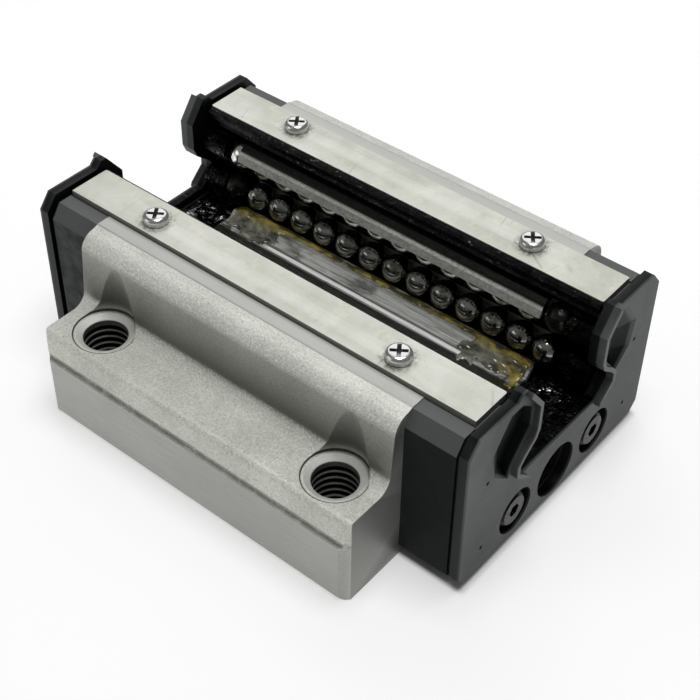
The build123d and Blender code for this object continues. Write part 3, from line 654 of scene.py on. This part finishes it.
SLOT_MAKERS = {
    "block_steel": block_steel,
    "plate_steel": plate_steel,
    "retainer_steel": retainer_steel,
    "ball_chrome": ball_chrome,
    "screw_chrome": bright_screw,
    "black_screw": black_screw,
    "cap_plastic": cap_plastic,
    "guide_plastic": guide_plastic,
    "seal_plastic": seal_plastic,
    "seal_rubber": seal_rubber,
    "bush_brass": bush_brass,
    "backing_steel": backing_steel,
}


def dress_nodes():
    """Give every CAD node the procedural material of its slot."""
    made = {slot: maker() for slot, maker in SLOT_MAKERS.items()}
    special = {"turn_balls": buried_ball(), "ball_retainer_centre": strip_steel()}
    # the upper balls get the lighter copy, painted bright as highlight
    painted_bright_balls = upper_ball()
    special.update({"load_balls_left_upper": painted_bright_balls, "load_balls_right_upper": painted_bright_balls})
    for entry in frame["record"]["subparts"]:
        name, skin = entry["node"], made[entry["material_slot"]]
        for start, own_skin in special.items():
            skin = own_skin if name.startswith(start) else skin
        mesh = NODES[name].data
        mesh.materials.clear()
        mesh.materials.append(skin)


# ---- worn and softened edges ---------------------------------------------
EDGE_ANGLE = math.radians(38)
SOFT_EDGES = {
    "carriage_block": 0.24, "side_seal_plate_left": 0.10, "side_seal_plate_right": 0.10,
    "end_cap_front": 0.18, "end_cap_rear": 0.18, "end_seal_front": 0.10, "end_seal_rear": 0.10,
    "ball_retainer_centre": 0.12, "ball_retainer_left": 0.07, "ball_retainer_right": 0.07,
    "end_cap_screws_front": 0.10, "end_cap_screws_rear": 0.10, "side_seal_screws": 0.05,
}


def soften_edges():
    """Small bevels, so that the edges catch the light; widths in millimetres."""
    for name, width in SOFT_EDGES.items():
        bevel = NODES[name].modifiers.new("soft_edges", "BEVEL")
        bevel.width = width * MM
        bevel.segments = 2
        bevel.limit_method = "ANGLE"
        bevel.angle_limit = EDGE_ANGLE


# ---- grease and oil --------------------------------------------------------
LUMP_GRID = 0.22 * MM
LUMP_SIZE = 2.6 * MM
LUMP_SINK = 0.03 * MM
LUMP_THINNEST = 0.03 * MM
RIM_FADE = 0.4 * MM
TORN_FADE = 3.0 * MM
FILM_FADE = 1.2 * MM


def strip_top(x, y):
    """Height of the centre retainer: a flat trough between raised edges."""
    rise = (abs(y) - TROUGH_HALF) / TROUGH_SLOPE
    return TROUGH_TOP + min(max(rise, 0.0), 1.0) * (STRIP_HIGH[2] - TROUGH_TOP)


def cap_floor(x, y):
    """Height of the channel floor in an end cap, the same everywhere."""
    return CHANNEL_FLOOR


def lump_heights(low, high, thickness, seed, fades):
    """Thickness of a ragged lump at each grid point where it is thick enough to keep."""
    counts = [int((high[axis] - low[axis]) / LUMP_GRID) for axis in (0, 1)]
    heights = {}
    for i in range(counts[0] + 1):
        for j in range(counts[1] + 1):
            x, y = low[0] + i * LUMP_GRID, low[1] + j * LUMP_GRID
            inside = (x - low[0], high[0] - x, y - low[1], high[1] - y)
            edge = min(min(gap / fade, 1.0) for gap, fade in zip(inside, fades))
            swell = 0.55 + 0.9 * noise.fractal(Vector((x, y, seed * MM)) / LUMP_SIZE, 1.0, 2.0, 3)
            height = thickness * (swell - 0.95 * (1.0 - edge))
            if height > LUMP_THINNEST:
                heights[i, j] = min(height, thickness)
    return heights


def lump_cells(heights):
    """Grid cells with four kept corners, less those that would meet only at a corner."""
    corners = ((0, 0), (1, 0), (1, 1), (0, 1))
    cells = {(i, j) for i, j in heights if all((i + a, j + b) in heights for a, b in corners)}
    pinched = True
    while pinched:
        pinched = {
            (i, j) for i, j in cells for a, b in ((1, 1), (1, -1))
            if (i + a, j + b) in cells and (i + a, j) not in cells and (i, j + b) not in cells
        }
        cells -= pinched
    return sorted(cells)


def grease_lump(name, low, high, thickness, seed, surface, skin, fades):
    """Closed ragged lump lying on a surface, between two corners in plan.

    Each cell has a top and a bottom face. An edge used in one direction only is on the border, where a
    wall joins the two layers.
    """
    heights = lump_heights(low, high, thickness, seed, fades)
    shape = bmesh.new()
    layers = ({}, {})
    used = {}
    for i, j in lump_cells(heights):
        ring = ((i, j), (i + 1, j), (i + 1, j + 1), (i, j + 1))
        for point in ring:
            if point not in layers[0]:
                x, y = low[0] + point[0] * LUMP_GRID, low[1] + point[1] * LUMP_GRID
                base = surface(x, y)
                layers[0][point] = shape.verts.new((x, y, base + heights[point]))
                layers[1][point] = shape.verts.new((x, y, base - LUMP_SINK))
        shape.faces.new([layers[0][point] for point in ring])
        shape.faces.new([layers[1][point] for point in reversed(ring)])
        for edge in zip(ring, ring[1:] + ring[:1]):
            used[edge] = True
    for first, second in used:
        if (second, first) not in used:
            wall = (layers[0][second], layers[0][first], layers[1][first], layers[1][second])
            shape.faces.new(wall)
    mesh = bpy.data.meshes.new(name)
    shape.to_mesh(mesh)
    shape.free()
    mesh.polygons.foreach_set("use_smooth", [True] * len(mesh.polygons))
    mesh.materials.append(skin)
    piece = bpy.data.objects.new(name, mesh)
    bpy.context.collection.objects.link(piece)
    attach(piece, ROOT)


def make_grease():
    """Grease along the strip, smeared over its ends, and black oil on the cap floors."""
    old = old_grease()
    sludge = oil_sludge()
    end = STRIP_HIGH[0] - 0.3 * MM
    rim, torn = RIM_FADE, TORN_FADE
    for side, seed in ((1, 23), (-1, 11)):
        word = "left" if side > 0 else "right"
        band = sorted((side * 8.05 * MM, side * 9.45 * MM))
        spread = sorted((side * 2.6 * MM, side * 9.1 * MM))
        across = (torn, rim) if side > 0 else (rim, torn)
        for first, last, name, thick, reach, fades in (
            (-end + 0.6 * MM, end - 0.6 * MM, "grease_bead", 0.28 * MM, band, (rim,) * 4),
            (17.5 * MM, end, "grease_smear_front", 0.42 * MM, spread, (torn, rim) + across),
            (-end, -18.5 * MM, "grease_smear_rear", 0.32 * MM, spread, (rim, torn) + across),
        ):
            low, high = (first, reach[0]), (last, reach[1])
            grease_lump("%s_%s" % (name, word), low, high, thick, seed, strip_top, old, fades)
    for sign, word in ((1, "front"), (-1, "rear")):
        reach = sorted((sign * (STRIP_HIGH[0] + 0.3 * MM), sign * (CAP_HIGH[0] - 0.4 * MM)))
        low, high = (reach[0], -9.3 * MM), (reach[1], 9.3 * MM)
        fades = (FILM_FADE,) * 4
        grease_lump("oil_film_" + word, low, high, 0.55 * MM, 20 + sign, cap_floor, sludge, fades)


# ---- stage --------------------------------------------------------------
def make_floor():
    """Floor just under the mounting face."""
    mesh = bpy.data.meshes.new("floor")
    shape = bmesh.new()
    bmesh.ops.create_grid(shape, x_segments=8, y_segments=8, size=1.5)
    shape.to_mesh(mesh)
    shape.free()
    floor = bpy.data.objects.new("floor", mesh)
    floor.location.z = -0.02 * MM
    mesh.materials.append(floor_paper())
    bpy.context.collection.objects.link(floor)


def area_light(name, place, size, watts):
    """White softbox, turned towards the carriage."""
    data = bpy.data.lights.new(name, "AREA")
    data.energy = watts
    data.shape = "RECTANGLE"
    data.size, data.size_y = size
    lamp = bpy.data.objects.new(name, data)
    lamp.location = place
    lamp.rotation_euler = (-Vector(place)).to_track_quat("-Z", "Y").to_euler()
    bpy.context.collection.objects.link(lamp)


def make_lights():
    """Soft light from above, a second one behind and a weak fill at the side."""
    area_light("top_softbox", (0.06, 0.02, 0.60), (0.30, 0.26), 2.10)
    area_light("back_softbox", (-0.23, 0.30, 0.34), (0.40, 0.36), 0.56)
    area_light("side_fill", (-0.40, -0.50, 0.28), (0.40, 0.30), 0.44)


def make_world():
    """Even white surroundings."""
    world = bpy.data.worlds.new("studio")
    world.use_nodes = True
    sky = world.node_tree.nodes["Background"]
    sky.inputs["Color"].default_value = (1.0, 1.0, 1.0, 1.0)
    sky.inputs["Strength"].default_value = 0.215
    bpy.context.scene.world = world
    bpy.context.scene.view_settings.view_transform = "Standard"


def make_camera():
    """Camera that looks down at the front end, rolled a little."""
    azimuth, elevation, roll = (math.radians(v) for v in (VIEW_AZIMUTH, VIEW_ELEVATION, VIEW_ROLL))
    back = Vector((
        math.sin(azimuth) * math.cos(elevation),
        -math.cos(azimuth) * math.cos(elevation),
        math.sin(elevation),
    ))
    level = Vector((0, 0, 1)).cross(back).normalized()
    upright = back.cross(level)
    right = level * math.cos(roll) + upright * math.sin(roll)
    up = upright * math.cos(roll) - level * math.sin(roll)
    data = bpy.data.cameras.new("camera")
    data.lens = VIEW_LENS
    data.sensor_width = SENSOR_WIDTH
    data.shift_x, data.shift_y = VIEW_SHIFT
    data.clip_start = 0.005
    camera = bpy.data.objects.new("camera", data)
    camera.matrix_world = Matrix((right, up, back)).transposed().to_4x4()
    camera.location = right * VIEW_OFFSET_RIGHT + up * VIEW_OFFSET_UP + back * VIEW_DISTANCE
    bpy.context.collection.objects.link(camera)
    bpy.context.scene.camera = camera


def main():
    """The whole scene."""
    make_camera()
    make_floor()
    make_lights()
    make_world()
    dress_nodes()
    soften_edges()
    make_grease()


main()
